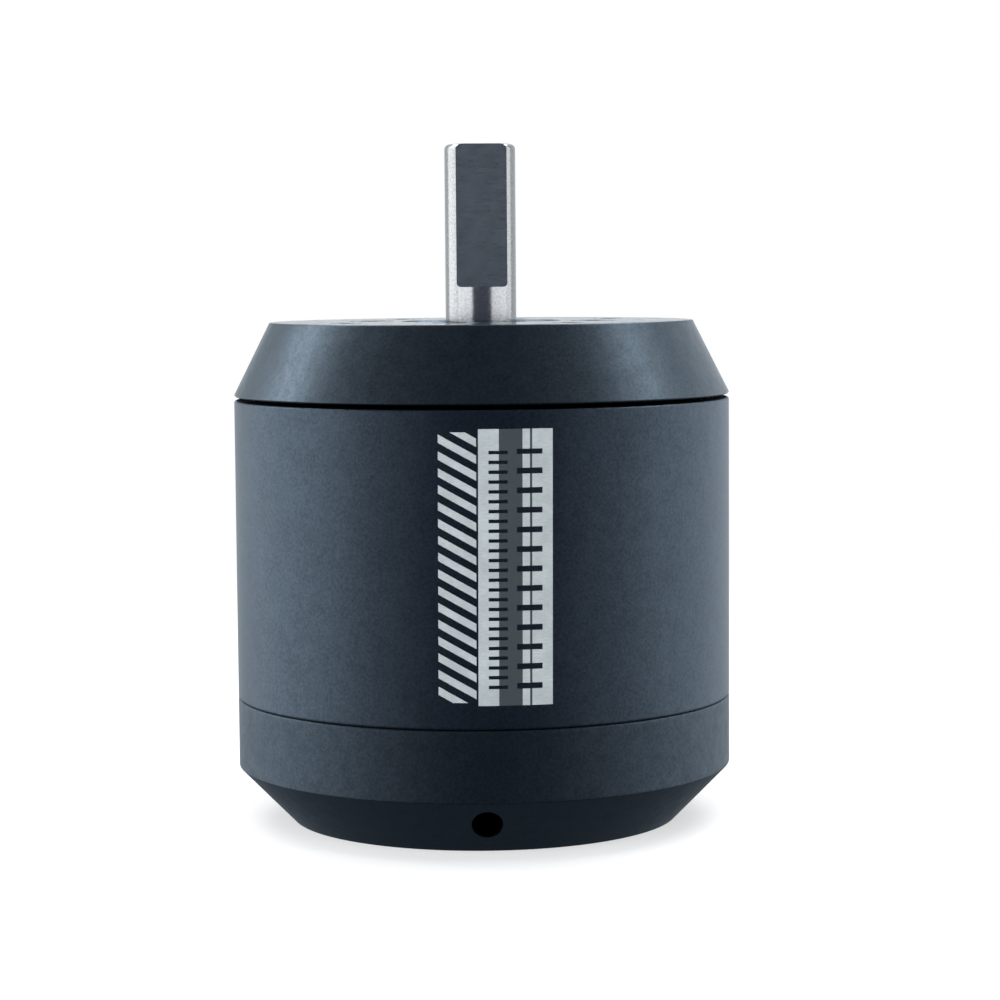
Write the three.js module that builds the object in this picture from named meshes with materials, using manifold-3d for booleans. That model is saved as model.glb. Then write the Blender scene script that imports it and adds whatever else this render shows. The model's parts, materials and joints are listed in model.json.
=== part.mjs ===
// Brushless outrunner motor, 70 mm class: a fixed coned front cap and a closed can that turns behind it.
// Millimetres. +Z runs along the shaft towards its output end. The origin is the centre of the flat
// rear face, which the motor stands on. -Y is the side with the first grub-screw hole.

import * as THREE from "three";
import { mergeVertices } from "three/addons/utils/BufferGeometryUtils.js";
import Module from "manifold-3d";

const wasm = await Module();
wasm.setup();

// ---- Driving dimensions ----

const BODY_RADIUS = 35;
const BODY_HEIGHT = 70.4;

const SHAFT_RADIUS = 5;
const SHAFT_STICK_OUT = 24.8;
const SHAFT_FLAT_LENGTH = 20;
const SHAFT_FLAT_DEPTH = 1.5;
const SHAFT_FLAT_CLOCKING = THREE.MathUtils.degToRad(2.5);

const CAP_HEIGHT = 10.35;
const CAP_FACE_RADIUS = 29.9;
const CAP_PLATE_THICKNESS = 6;
const CAP_TO_CAN_GAP = 0.55;

const BELL_HEIGHT = 17.5;
const BELL_CHAMFER_HEIGHT = 7.8;
const BELL_REAR_FACE_RADIUS = 27.4;
const BELL_FLOOR_THICKNESS = 8.6;

const CAN_WALL = 2.75;

const SLOT_COUNT = 12;
const CORE_RADIUS = 29;
const CORE_LENGTH = 30;
const CORE_BOTTOM = 22;

const MAGNET_COUNT = 14;
const MAGNET_INNER_RADIUS = 29.75;
const MAGNET_LENGTH = 35;
const MAGNET_BOTTOM = 20.5;

const BEARING_RADIUS = 11;
const BEARING_WIDTH = 6;
const FRONT_BEARING_BOTTOM = 62.4;
const REAR_BEARING_BOTTOM = 14;

const MOUNT_HOLE_COUNT = 4;
const MOUNT_CIRCLE_RADIUS = 22;
const MOUNT_HOLE_RADIUS = 1.65;
const MOUNT_HOLE_MOUTH_RADIUS = 2.15;
const MOUNT_HOLE_ANGLE = THREE.MathUtils.degToRad(32);

// The screws that hold the stator tube sit halfway between the mounting holes.
const TUBE_SCREW_COUNT = 4;
const TUBE_SCREW_CIRCLE_RADIUS = 16;
const TUBE_SCREW_ANGLE = MOUNT_HOLE_ANGLE + Math.PI / MOUNT_HOLE_COUNT;

const GRUB_HOLE_RADIUS = 2.1;
const GRUB_HOLE_HEIGHT = 4.4;

const CABLE_SLOT = { width: 18.4, height: 5.4, centreHeight: 64, innerY: 24 };

// Clearance between pieces that fit into each other, and from a face to the piece seated on it.
const FIT = 0.05;

// Facets round a full turn, for large, middling and small round shapes, and for washers and their like.
const LARGE = 56;
const MIDDLE = 32;
const SMALL = 16;
const WASHER = 24;

// ---- Heights that follow from them ----

const CAP_RIM = BODY_HEIGHT - CAP_HEIGHT;
const CAN_TOP = CAP_RIM - CAP_TO_CAN_GAP;
const CAN_INNER_RADIUS = BODY_RADIUS - CAN_WALL;
const CORE_TOP = CORE_BOTTOM + CORE_LENGTH;
const SHAFT_TOP = BODY_HEIGHT + SHAFT_STICK_OUT;
const BOSS_BOTTOM = FRONT_BEARING_BOTTOM - 1;
const FRONT_BEARING_TOP = FRONT_BEARING_BOTTOM + BEARING_WIDTH;
const REAR_BEARING_TOP = REAR_BEARING_BOTTOM + BEARING_WIDTH;

// ---- Solid tools ----

// A closed solid from any closed geometry: its corners are welded and its empty triangles dropped.
function solidFrom(geometry) {
  const bare = geometry.clone();
  bare.deleteAttribute("normal");
  bare.deleteAttribute("uv");
  const welded = mergeVertices(bare, 1e-4);
  const corners = welded.index.array;
  const kept = [];
  for (let i = 0; i < corners.length; i += 3) {
    const [a, b, c] = corners.subarray(i, i + 3);
    if (a !== b && b !== c && c !== a) kept.push(a, b, c);
  }
  return new wasm.Manifold(
    new wasm.Mesh({
      numProp: 3,
      vertProperties: new Float32Array(welded.attributes.position.array),
      triVerts: new Uint32Array(kept),
    }),
  );
}

function geometryFrom(solid) {
  const surface = solid.getMesh();
  const geometry = new THREE.BufferGeometry();
  geometry.setAttribute("position", new THREE.BufferAttribute(surface.vertProperties, 3));
  geometry.setIndex(new THREE.BufferAttribute(surface.triVerts, 1));
  const faceted = geometry.toNonIndexed();
  faceted.computeVertexNormals();
  return faceted;
}

// A solid turned about Z. Its half outline is a list of [radius, height] corners, anticlockwise.
function turned(outline, facets) {
  const closed = [...outline, outline[0]].map(([radius, height]) => new THREE.Vector2(radius, height));
  return solidFrom(new THREE.LatheGeometry(closed, facets).rotateX(Math.PI / 2));
}

// A ring or washer about Z.
function ring(innerRadius, outerRadius, bottom, top, facets) {
  const outline = [
    [innerRadius, bottom],
    [outerRadius, bottom],
    [outerRadius, top],
    [innerRadius, top],
  ];
  return turned(outline, facets);
}

// A round bar about Z.
function bar(radius, bottom, top, facets) {
  const outline = [
    [0, bottom],
    [radius, bottom],
    [radius, top],
    [0, top],
  ];
  return turned(outline, facets);
}

// A flat outline in X and Y, raised from one height to another.
function raised(shape, bottom, top, curveSegments = 6) {
  const options = { depth: top - bottom, bevelEnabled: false, curveSegments };
  return solidFrom(new THREE.ExtrudeGeometry(shape, options).translate(0, 0, bottom));
}

// A box between two opposite corners.
function block([x0, y0, z0], [x1, y1, z1]) {
  const box = new THREE.BoxGeometry(x1 - x0, y1 - y0, z1 - z0);
  return solidFrom(box.translate((x0 + x1) / 2, (y0 + y1) / 2, (z0 + z1) / 2));
}

// A hexagonal prism about Z, for the socket of a screw.
function hexagon(acrossFlats, bottom, top) {
  return bar(acrossFlats / Math.sqrt(3), bottom, top, 6);
}

function turnedAboutZ(solid, angle) {
  return solid.rotate([0, 0, THREE.MathUtils.radToDeg(angle)]);
}

// The same solid at even steps round a circle about Z, as a list.
function aroundCircle(solid, radius, count, startAngle) {
  const copies = [];
  for (let i = 0; i < count; i++) {
    const angle = startAngle + (i * 2 * Math.PI) / count;
    copies.push(turnedAboutZ(solid.translate([radius, 0, 0]), angle));
  }
  return copies;
}

function cutAll(solid, cutters) {
  return cutters.reduce((left, cutter) => left.subtract(cutter), solid);
}

// An outline with straight long sides and round ends, centred on the origin.
function obround(width, height) {
  const end = height / 2;
  const straight = width / 2 - end;
  const shape = new THREE.Shape();
  shape.absarc(straight, 0, end, -Math.PI / 2, Math.PI / 2);
  shape.absarc(-straight, 0, end, Math.PI / 2, (3 * Math.PI) / 2);
  shape.closePath();
  return shape;
}

// A flat outline in X and Z, raised along +Y from one place to another.
function raisedAlongY(shape, from, to, height) {
  const options = { depth: to - from, bevelEnabled: false, curveSegments: 8 };
  const geometry = new THREE.ExtrudeGeometry(shape, options).rotateX(-Math.PI / 2);
  return solidFrom(geometry.translate(0, from, height));
}

// ---- Fixed side: front cap, bearing tube and their screws ----

function mountingHole() {
  const outline = [
    [0, BODY_HEIGHT - CAP_PLATE_THICKNESS - 1],
    [MOUNT_HOLE_RADIUS, BODY_HEIGHT - CAP_PLATE_THICKNESS - 1],
    [MOUNT_HOLE_RADIUS, BODY_HEIGHT - (MOUNT_HOLE_MOUTH_RADIUS - MOUNT_HOLE_RADIUS)],
    [MOUNT_HOLE_MOUTH_RADIUS, BODY_HEIGHT],
    [MOUNT_HOLE_MOUTH_RADIUS, BODY_HEIGHT + 1],
    [0, BODY_HEIGHT + 1],
  ];
  return turned(outline, SMALL);
}

const SCREW_SHANK_RADIUS = 1.45;
const SCREW_HEAD_RADIUS = 2.9;
const SCREW_TIP = 59;
const SCREW_HOLE_RADIUS = 1.6;

function countersunkHole() {
  const mouth = SCREW_HEAD_RADIUS + 0.35;
  const outline = [
    [0, BOSS_BOTTOM - 1],
    [SCREW_HOLE_RADIUS, BOSS_BOTTOM - 1],
    [SCREW_HOLE_RADIUS, BODY_HEIGHT - (mouth - SCREW_HOLE_RADIUS)],
    [mouth, BODY_HEIGHT],
    [mouth, BODY_HEIGHT + 1],
    [0, BODY_HEIGHT + 1],
  ];
  return turned(outline, SMALL);
}

function frontCap() {
  const shoulderRadius = 9.5;
  const bossRadius = 20;
  const skirtInnerRadius = 28.5;
  const spigotRadius = 31.2;
  const spigotBottom = CAP_RIM - 1.7;
  const plateUnderside = BODY_HEIGHT - CAP_PLATE_THICKNESS;
  const rimEdge = 0.2;
  const outline = [
    [shoulderRadius, BOSS_BOTTOM],
    [bossRadius, BOSS_BOTTOM],
    [bossRadius, plateUnderside],
    [skirtInnerRadius, plateUnderside],
    [skirtInnerRadius, spigotBottom],
    [spigotRadius, spigotBottom],
    [spigotRadius, CAP_RIM],
    [BODY_RADIUS - rimEdge, CAP_RIM],
    [BODY_RADIUS, CAP_RIM + rimEdge],
    [CAP_FACE_RADIUS, BODY_HEIGHT],
    [BEARING_RADIUS, BODY_HEIGHT],
    [BEARING_RADIUS, FRONT_BEARING_BOTTOM],
    [shoulderRadius, FRONT_BEARING_BOTTOM],
  ];
  const cableSlot = raisedAlongY(
    obround(CABLE_SLOT.width, CABLE_SLOT.height),
    CABLE_SLOT.innerY,
    BODY_RADIUS + 5,
    CABLE_SLOT.centreHeight,
  );
  return cutAll(turned(outline, LARGE), [
    ...aroundCircle(mountingHole(), MOUNT_CIRCLE_RADIUS, MOUNT_HOLE_COUNT, MOUNT_HOLE_ANGLE),
    ...aroundCircle(countersunkHole(), TUBE_SCREW_CIRCLE_RADIUS, TUBE_SCREW_COUNT, TUBE_SCREW_ANGLE),
    cableSlot,
  ]);
}

// Rubber gland with a hole for each of the three phase leads and one for the sensor lead.
function cableGrommet() {
  const phaseHoleRadius = 1.75;
  const sensorHoleRadius = 1.4;
  const wall = 0.8;
  const innerY = 27.5;
  const outerY = 33.8;
  const rubber = obround(CABLE_SLOT.width - 0.4, CABLE_SLOT.height - 0.4);
  const radii = [phaseHoleRadius, phaseHoleRadius, phaseHoleRadius, sensorHoleRadius];
  const holesWidth = 2 * radii.reduce((sum, radius) => sum + radius, 0) + wall * (radii.length - 1);
  let edge = -holesWidth / 2;
  for (const radius of radii) {
    const hole = new THREE.Path();
    hole.absarc(edge + radius, 0, radius, 0, 2 * Math.PI);
    rubber.holes.push(hole);
    edge += 2 * radius + wall;
  }
  return raisedAlongY(rubber, innerY, outerY, CABLE_SLOT.centreHeight);
}

const TUBE_RADIUS = 13.45;

function statorTube() {
  const boreRadius = 9.5;
  const flangeRadius = 19.6;
  const flangeThickness = 2.8;
  const tubeBottom = REAR_BEARING_BOTTOM - 0.4;
  const outline = [
    [BEARING_RADIUS, tubeBottom],
    [TUBE_RADIUS, tubeBottom],
    [TUBE_RADIUS, BOSS_BOTTOM - flangeThickness],
    [flangeRadius, BOSS_BOTTOM - flangeThickness],
    [flangeRadius, BOSS_BOTTOM],
    [boreRadius, BOSS_BOTTOM],
    [boreRadius, REAR_BEARING_TOP],
    [BEARING_RADIUS, REAR_BEARING_TOP],
  ];
  const screwHole = bar(SCREW_HOLE_RADIUS, BOSS_BOTTOM - 5, BOSS_BOTTOM + 1, SMALL);
  const screwHoles = aroundCircle(screwHole, TUBE_SCREW_CIRCLE_RADIUS, TUBE_SCREW_COUNT, TUBE_SCREW_ANGLE);
  return cutAll(turned(outline, MIDDLE), screwHoles);
}

// Countersunk socket screw, its head just under the cap's face.
function tubeScrew() {
  const headTop = BODY_HEIGHT - FIT;
  const headEdge = 0.15;
  const headSide = SCREW_HEAD_RADIUS - SCREW_SHANK_RADIUS;
  const outline = [
    [0, SCREW_TIP],
    [SCREW_SHANK_RADIUS, SCREW_TIP],
    [SCREW_SHANK_RADIUS, headTop - headEdge - headSide],
    [SCREW_HEAD_RADIUS, headTop - headEdge],
    [SCREW_HEAD_RADIUS, headTop],
    [0, headTop],
  ];
  const socket = hexagon(2, headTop - 1.4, headTop + 1);
  return turned(outline, SMALL).subtract(socket);
}

// ---- Fixed side: laminations, insulators, coils and sensor board ----

const SLOT_PITCH = (2 * Math.PI) / SLOT_COUNT;
const TOOTH_HALF_WIDTH = 2.5;
const YOKE_RADIUS = 17.5;

function polar(radius, angle) {
  return new THREE.Vector2(radius * Math.cos(angle), radius * Math.sin(angle));
}

// Outline of a slotted stack: a yoke ring with one shoe-ended tooth for each coil.
function toothedOutline(outerRadius) {
  const shoeHalfAngle = THREE.MathUtils.degToRad(12.5);
  const shoeTip = 1;
  const shoeRoot = 1.8;
  const arcSteps = 2;
  const axis = new THREE.Vector2();
  const shape = new THREE.Shape();
  for (let tooth = 0; tooth < SLOT_COUNT; tooth++) {
    const centre = tooth * SLOT_PITCH;
    const corner = (along, across) => new THREE.Vector2(along, across).rotateAround(axis, centre);
    const rootAlong = Math.sqrt(YOKE_RADIUS ** 2 - TOOTH_HALF_WIDTH ** 2);
    const points = [
      corner(rootAlong, -TOOTH_HALF_WIDTH),
      corner(outerRadius - shoeRoot, -TOOTH_HALF_WIDTH),
      polar(outerRadius - shoeTip, centre - shoeHalfAngle),
    ];
    for (let step = 0; step <= arcSteps; step++) {
      points.push(polar(outerRadius, centre + shoeHalfAngle * ((2 * step) / arcSteps - 1)));
    }
    points.push(
      polar(outerRadius - shoeTip, centre + shoeHalfAngle),
      corner(outerRadius - shoeRoot, TOOTH_HALF_WIDTH),
      corner(rootAlong, TOOTH_HALF_WIDTH),
      polar(YOKE_RADIUS, centre + SLOT_PITCH / 2),
    );
    for (const point of points) {
      if (tooth === 0 && point === points[0]) shape.moveTo(point.x, point.y);
      else shape.lineTo(point.x, point.y);
    }
  }
  shape.closePath();
  const bore = new THREE.Path();
  bore.absarc(0, 0, TUBE_RADIUS + 2 * FIT, 0, 2 * Math.PI);
  shape.holes.push(bore);
  return shape;
}

const BORE_FACETS = 18;

function statorCore() {
  return raised(toothedOutline(CORE_RADIUS), CORE_BOTTOM, CORE_TOP, BORE_FACETS);
}

const INSULATOR_THICKNESS = 1.2;

function slotInsulator(bottom) {
  const outline = toothedOutline(CORE_RADIUS - 0.5);
  return raised(outline, bottom, bottom + INSULATOR_THICKNESS, BORE_FACETS);
}

// A wound coil: a wedge that fills half of each slot, with the tooth's hole through it.
function coil() {
  const innerPlace = 18.2;
  const outerPlace = 26.4;
  const innerHalfWidth = 4.3;
  const outerHalfWidth = 6.2;
  const endTurn = 4.4;
  const rounding = 1;
  const holeHalfWidth = TOOTH_HALF_WIDTH + 0.15;
  const holeBottom = CORE_BOTTOM - INSULATOR_THICKNESS - 0.15;
  const holeTop = CORE_TOP + INSULATOR_THICKNESS + 0.15;
  const shape = new THREE.Shape();
  shape.moveTo(innerPlace + rounding, -innerHalfWidth + rounding);
  shape.lineTo(outerPlace - rounding, -outerHalfWidth + rounding);
  shape.lineTo(outerPlace - rounding, outerHalfWidth - rounding);
  shape.lineTo(innerPlace + rounding, innerHalfWidth - rounding);
  shape.closePath();
  const bottom = holeBottom - endTurn;
  const top = holeTop + endTurn;
  const options = {
    depth: top - bottom - 2 * rounding,
    bevelEnabled: true,
    bevelThickness: rounding,
    bevelSize: rounding * 0.8,
    bevelSegments: 2,
  };
  const wedge = solidFrom(new THREE.ExtrudeGeometry(shape, options).translate(0, 0, bottom + rounding));
  const toothHole = block(
    [innerPlace - 2, -holeHalfWidth, holeBottom],
    [outerPlace + 2, holeHalfWidth, holeTop],
  );
  return wedge.subtract(toothHole);
}

// Ring board over the front end turns, with a sensor reaching down into three of the slots.
function hallSensorBoard() {
  const boardBottom = 59.2;
  const boardTop = 60.4;
  const innerRadius = 20.6;
  const outerRadius = 28;
  const sensorReach = 2;
  const connectorHeight = 2.4;
  const sensorSlots = [3, 5, 7];
  const board = ring(innerRadius, outerRadius, boardBottom, boardTop, MIDDLE);
  const sensor = block([27.2, -0.75, CORE_TOP - sensorReach], [28.2, 0.75, boardTop]);
  const connector = block([22, -3.5, boardTop - 0.2], [26, 3.5, boardTop + connectorHeight]);
  const parts = sensorSlots.map((slot) => turnedAboutZ(sensor, (slot + 0.5) * SLOT_PITCH));
  parts.push(turnedAboutZ(connector, Math.PI / 4));
  return parts.reduce((joined, part) => joined.add(part), board);
}

// ---- Ball bearings, 10 x 22 x 6 ----

const BALL_CIRCLE_RADIUS = 8;
const BALL_RADIUS = 1.55;
const BALL_COUNT = 9;
const INNER_RING_RADIUS = 6.75;
const OUTER_RING_BORE_RADIUS = 9.3;
const RACE_DEPTH = 0.45;
const RACE_MOUTH = 1.4;
const RACE_FLOOR = 0.7;

function bearingInnerRing(bottom) {
  const middle = bottom + BEARING_WIDTH / 2;
  const outline = [
    [SHAFT_RADIUS + FIT, bottom],
    [INNER_RING_RADIUS, bottom],
    [INNER_RING_RADIUS, middle - RACE_MOUTH],
    [INNER_RING_RADIUS - RACE_DEPTH, middle - RACE_FLOOR],
    [INNER_RING_RADIUS - RACE_DEPTH, middle + RACE_FLOOR],
    [INNER_RING_RADIUS, middle + RACE_MOUTH],
    [INNER_RING_RADIUS, bottom + BEARING_WIDTH],
    [SHAFT_RADIUS + FIT, bottom + BEARING_WIDTH],
  ];
  return turned(outline, MIDDLE);
}

function bearingOuterRing(bottom) {
  const middle = bottom + BEARING_WIDTH / 2;
  const outline = [
    [OUTER_RING_BORE_RADIUS, bottom],
    [BEARING_RADIUS - FIT, bottom],
    [BEARING_RADIUS - FIT, bottom + BEARING_WIDTH],
    [OUTER_RING_BORE_RADIUS, bottom + BEARING_WIDTH],
    [OUTER_RING_BORE_RADIUS, middle + RACE_MOUTH],
    [OUTER_RING_BORE_RADIUS + RACE_DEPTH, middle + RACE_FLOOR],
    [OUTER_RING_BORE_RADIUS + RACE_DEPTH, middle - RACE_FLOOR],
    [OUTER_RING_BORE_RADIUS, middle - RACE_MOUTH],
  ];
  return turned(outline, MIDDLE);
}

// The cage's ribbon and the balls that it carries round, joined as one piece.
function bearingCageAndBalls(bottom) {
  const middle = bottom + BEARING_WIDTH / 2;
  const ribbon = ring(7.6, 8.4, middle - 0.5, middle + 0.5, BALL_COUNT * 2);
  const ball = solidFrom(new THREE.SphereGeometry(BALL_RADIUS, 8, 5)).translate([0, 0, middle]);
  const balls = aroundCircle(ball, BALL_CIRCLE_RADIUS, BALL_COUNT, 0);
  return balls.reduce((joined, one) => joined.add(one), ribbon);
}

function bearingSeal(bottom) {
  return ring(INNER_RING_RADIUS + 0.2, OUTER_RING_BORE_RADIUS - 0.1, bottom, bottom + 0.5, WASHER);
}

// ---- Turning side: can, bell, shaft, magnets and what holds them ----

const SEAM_EDGE = 0.15;

function fluxRing() {
  const topEdge = 0.2;
  const outline = [
    [CAN_INNER_RADIUS, BELL_HEIGHT],
    [BODY_RADIUS - SEAM_EDGE, BELL_HEIGHT],
    [BODY_RADIUS, BELL_HEIGHT + SEAM_EDGE],
    [BODY_RADIUS, CAN_TOP - topEdge],
    [BODY_RADIUS - topEdge, CAN_TOP],
    [CAN_INNER_RADIUS, CAN_TOP],
  ];
  return turned(outline, LARGE);
}

const BELL_HUB_TOP = 12.5;
const REAR_RECESS = 0.8;

function rearBell() {
  const boreRadius = SHAFT_RADIUS + FIT;
  const recessRadius = 9;
  const hubRadius = 12;
  const registerInnerRadius = 30.4;
  const registerHeight = 2;
  const outline = [
    [boreRadius, REAR_RECESS],
    [recessRadius, REAR_RECESS],
    [recessRadius, 0],
    [BELL_REAR_FACE_RADIUS, 0],
    [BODY_RADIUS, BELL_CHAMFER_HEIGHT],
    [BODY_RADIUS, BELL_HEIGHT - SEAM_EDGE],
    [BODY_RADIUS - SEAM_EDGE, BELL_HEIGHT],
    [CAN_INNER_RADIUS - FIT, BELL_HEIGHT],
    [CAN_INNER_RADIUS - FIT, BELL_HEIGHT + registerHeight],
    [registerInnerRadius, BELL_HEIGHT + registerHeight],
    [registerInnerRadius, BELL_FLOOR_THICKNESS],
    [hubRadius, BELL_FLOOR_THICKNESS],
    [hubRadius, BELL_HUB_TOP],
    [boreRadius, BELL_HUB_TOP],
  ];
  const length = 3 * BODY_RADIUS;
  const grubHole = bar(GRUB_HOLE_RADIUS, -length / 2, length / 2, WASHER)
    .rotate([90, 0, 0])
    .translate([0, 0, GRUB_HOLE_HEIGHT]);
  return turned(outline, LARGE).subtract(grubHole);
}

const CLIP_BOTTOM = FRONT_BEARING_TOP + 0.5;
const CLIP_THICKNESS = 1;
const CLIP_GROOVE_RADIUS = 4.7;
const GRUB_FLAT_DEPTH = 0.4;

function shaft() {
  const rearChamfer = 0.4;
  const endChamfer = 0.5;
  const outline = [
    [0, REAR_RECESS],
    [SHAFT_RADIUS - rearChamfer, REAR_RECESS],
    [SHAFT_RADIUS, REAR_RECESS + rearChamfer],
    [SHAFT_RADIUS, CLIP_BOTTOM - FIT],
    [CLIP_GROOVE_RADIUS, CLIP_BOTTOM - FIT],
    [CLIP_GROOVE_RADIUS, CLIP_BOTTOM + CLIP_THICKNESS + FIT],
    [SHAFT_RADIUS, CLIP_BOTTOM + CLIP_THICKNESS + FIT],
    [SHAFT_RADIUS, SHAFT_TOP - endChamfer],
    [SHAFT_RADIUS - endChamfer, SHAFT_TOP],
    [0, SHAFT_TOP],
  ];
  const reach = 2 * SHAFT_RADIUS;
  const outputFlat = block(
    [-reach, -reach, SHAFT_TOP - SHAFT_FLAT_LENGTH],
    [reach, SHAFT_FLAT_DEPTH - SHAFT_RADIUS, SHAFT_TOP + 1],
  );
  const grubFlat = block(
    [-reach, SHAFT_RADIUS - GRUB_FLAT_DEPTH, GRUB_HOLE_HEIGHT - 2.8],
    [reach, reach, GRUB_HOLE_HEIGHT + 2.8],
  );
  return cutAll(turned(outline, MIDDLE), [
    turnedAboutZ(outputFlat, SHAFT_FLAT_CLOCKING),
    grubFlat,
    turnedAboutZ(grubFlat, Math.PI),
  ]);
}

function magnet() {
  const outerRadius = CAN_INNER_RADIUS - 0.1;
  const halfAngle = Math.PI / MAGNET_COUNT - THREE.MathUtils.degToRad(1.1);
  const shape = new THREE.Shape();
  shape.absarc(0, 0, outerRadius, -halfAngle, halfAngle);
  shape.absarc(0, 0, MAGNET_INNER_RADIUS, halfAngle, -halfAngle, true);
  shape.closePath();
  return raised(shape, MAGNET_BOTTOM, MAGNET_BOTTOM + MAGNET_LENGTH, 4);
}

// Cup-point grub screw that lies along +Y against the shaft, shown at its thread's core diameter.
function grubScrew() {
  const length = 8;
  const radius = GRUB_HOLE_RADIUS - FIT;
  const tip = SHAFT_RADIUS - GRUB_FLAT_DEPTH + FIT;
  const outline = [
    [0, 0],
    [radius - 0.8, 0],
    [radius, 0.8],
    [radius, length],
    [0, length],
  ];
  const socket = hexagon(2.5, length - 3, length + 1);
  return turned(outline, WASHER)
    .subtract(socket)
    .rotate([-90, 0, 0])
    .translate([0, tip, GRUB_HOLE_HEIGHT]);
}

// Open retaining ring with an eye at each end for the pliers.
function shaftCirclip() {
  const innerRadius = CLIP_GROOVE_RADIUS + FIT;
  const outerRadius = 6.3;
  const halfOpening = THREE.MathUtils.degToRad(24);
  const eyeRadius = 1.15;
  const eyeHoleRadius = 0.5;
  const eyePlace = innerRadius + eyeRadius;
  const eyeAngle = halfOpening + 0.12;
  const shape = new THREE.Shape();
  shape.absarc(0, 0, outerRadius, halfOpening, 2 * Math.PI - halfOpening);
  shape.absarc(0, 0, innerRadius, 2 * Math.PI - halfOpening, halfOpening, true);
  shape.closePath();
  const top = CLIP_BOTTOM + CLIP_THICKNESS;
  const band = raised(shape, CLIP_BOTTOM, top, 10);
  const eye = bar(eyeRadius, CLIP_BOTTOM, top, SMALL);
  const eyeHole = bar(eyeHoleRadius, CLIP_BOTTOM - 1, top + 1, SMALL);
  const place = (solid, side) => turnedAboutZ(solid.translate([eyePlace, 0, 0]), side * eyeAngle);
  const joined = band.add(place(eye, 1)).add(place(eye, -1));
  return cutAll(joined, [place(eyeHole, 1), place(eyeHole, -1)]);
}

function frontWasher() {
  return ring(SHAFT_RADIUS + 0.1, 7, FRONT_BEARING_TOP, CLIP_BOTTOM, WASHER);
}

function rearSpacer() {
  return ring(SHAFT_RADIUS + 0.1, 6.6, BELL_HUB_TOP, REAR_BEARING_BOTTOM, WASHER);
}

// ---- Finishes ----

function finish(color, roughness, metalness) {
  return () => new THREE.MeshStandardMaterial({ color, roughness, metalness });
}

const blackAnodised = finish(0x1c2229, 0.45, 0.6);
const blackCan = finish(0x1e252d, 0.5, 0.5);
const polishedSteel = finish(0xc8ccd0, 0.22, 1);
const bearingSteel = finish(0xaeb2b6, 0.25, 1);
const blackOxide = finish(0x17181a, 0.5, 0.7);
const springSteel = finish(0x2b2d30, 0.4, 0.8);
const siliconSteel = finish(0x5c6064, 0.5, 0.8);
const rawAluminium = finish(0xb9bdc0, 0.35, 0.9);
const copper = finish(0xb0602c, 0.35, 0.8);
const nickel = finish(0x9a9c9e, 0.3, 0.9);
const greenBoard = finish(0x1d5b36, 0.6, 0);
const blackRubber = finish(0x141414, 0.85, 0);
const redInsulator = finish(0x8a2f22, 0.7, 0);

// ---- Assembly ----

const motor = new THREE.Group();
motor.name = "outrunner_motor";

function addPiece(name, solid, makeMaterial) {
  const mesh = new THREE.Mesh(geometryFrom(solid), makeMaterial());
  mesh.name = name;
  motor.add(mesh);
  return mesh;
}

// One mesh for each copy of a repeated piece, turned evenly about the shaft's axis.
function addRepeated(prefix, solid, makeMaterial, count, startAngle = 0) {
  for (let i = 0; i < count; i++) {
    const number = String(i + 1).padStart(count > 9 ? 2 : 1, "0");
    const mesh = addPiece(`${prefix}_${number}`, solid, makeMaterial);
    mesh.rotation.z = startAngle + (i * 2 * Math.PI) / count;
  }
}

function addBearing(prefix, bottom) {
  addPiece(`${prefix}_bearing_outer_ring`, bearingOuterRing(bottom), bearingSteel);
  addPiece(`${prefix}_bearing_inner_ring`, bearingInnerRing(bottom), bearingSteel);
  addPiece(`${prefix}_bearing_cage_and_balls`, bearingCageAndBalls(bottom), bearingSteel);
  addPiece(`${prefix}_bearing_upper_seal`, bearingSeal(bottom + BEARING_WIDTH - 0.8), blackRubber);
  addPiece(`${prefix}_bearing_lower_seal`, bearingSeal(bottom + 0.3), blackRubber);
}

addPiece("front_cap", frontCap(), blackAnodised);
addPiece("cable_grommet", cableGrommet(), blackRubber);
addPiece("stator_tube", statorTube(), rawAluminium);
addRepeated(
  "tube_screw",
  tubeScrew().translate([TUBE_SCREW_CIRCLE_RADIUS, 0, 0]),
  blackOxide,
  TUBE_SCREW_COUNT,
  TUBE_SCREW_ANGLE,
);
addPiece("stator_core", statorCore(), siliconSteel);
addPiece("front_slot_insulator", slotInsulator(CORE_TOP), redInsulator);
addPiece("rear_slot_insulator", slotInsulator(CORE_BOTTOM - INSULATOR_THICKNESS), redInsulator);
addRepeated("coil", coil(), copper, SLOT_COUNT);
addPiece("hall_sensor_board", hallSensorBoard(), greenBoard);

addBearing("front", FRONT_BEARING_BOTTOM);
addBearing("rear", REAR_BEARING_BOTTOM);

addPiece("flux_ring", fluxRing(), blackCan);
addPiece("rear_bell", rearBell(), blackAnodised);
addPiece("shaft", shaft(), polishedSteel);
addRepeated("magnet", magnet(), nickel, MAGNET_COUNT);
addRepeated("bell_grub_screw", grubScrew(), blackOxide, 2);
addPiece("shaft_circlip", shaftCirclip(), springSteel);
addPiece("front_washer", frontWasher(), bearingSteel);
addPiece("rear_spacer", rearSpacer(), bearingSteel);

export default motor;
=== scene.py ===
"""Looks of the brushless outrunner motor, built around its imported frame.

Outlines are in millimetres, as on a workshop drawing, and every mesh is made in metres in the row frame:
+Z along the shaft, -Y towards the grub-screw hole, the origin at the centre of the rear face.
"""

import json
import math

import bmesh
import bpy
from mathutils import Matrix, Vector

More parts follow.
